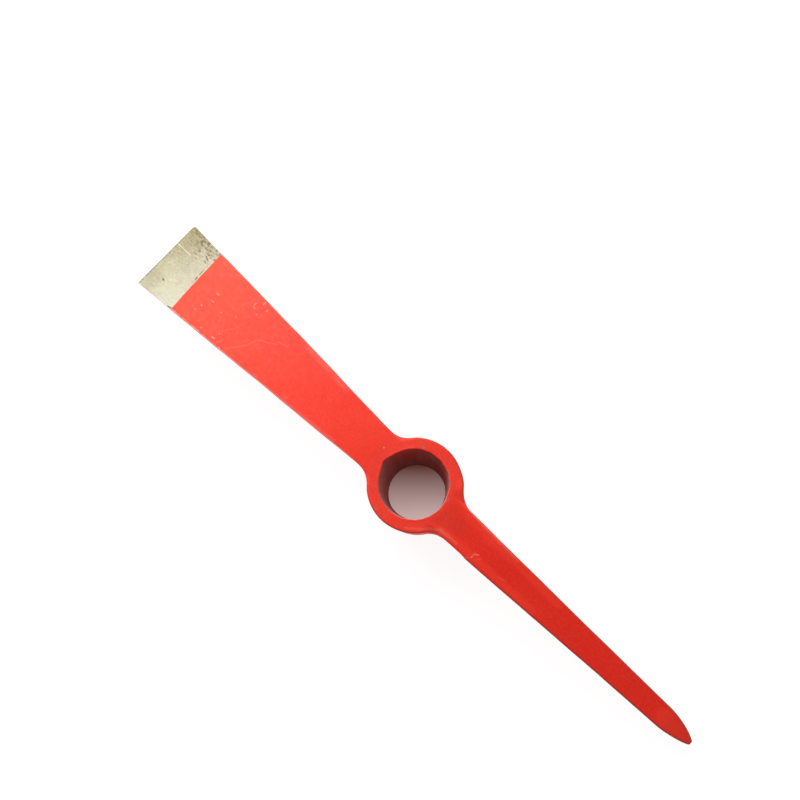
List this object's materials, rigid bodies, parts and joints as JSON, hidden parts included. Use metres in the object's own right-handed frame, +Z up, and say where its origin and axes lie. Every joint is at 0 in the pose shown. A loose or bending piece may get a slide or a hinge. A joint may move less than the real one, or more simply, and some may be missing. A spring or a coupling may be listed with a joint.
{
  "type": "pick mattock head",
  "caption": "Forged pick mattock head with a tapered round eye for a handle, a broad arched blade with a bare ground edge, and a straight tapered pick with a rounded point.",
  "frame": {"origin": "on the bore's axis, at the foot of the eye, on which the head stands", "axes": "+Z up the bore, from the throat to the mouth; +X towards the pick's point; the blade reaches along -X"},
  "size_m": [0.5182, 0.068, 0.055],
  "materials": {
    "red_paint": "red enamel, brushed or dipped, satin gloss",
    "bare_steel": "ground steel, slightly yellowed and pitted"
  },
  "bodies": {
    "root": {"eye": "red_paint", "blade": "red_paint", "cutting_edge": "bare_steel", "pick_arm": "red_paint", "pick_point": "red_paint"}
  },
  "joints": []
}
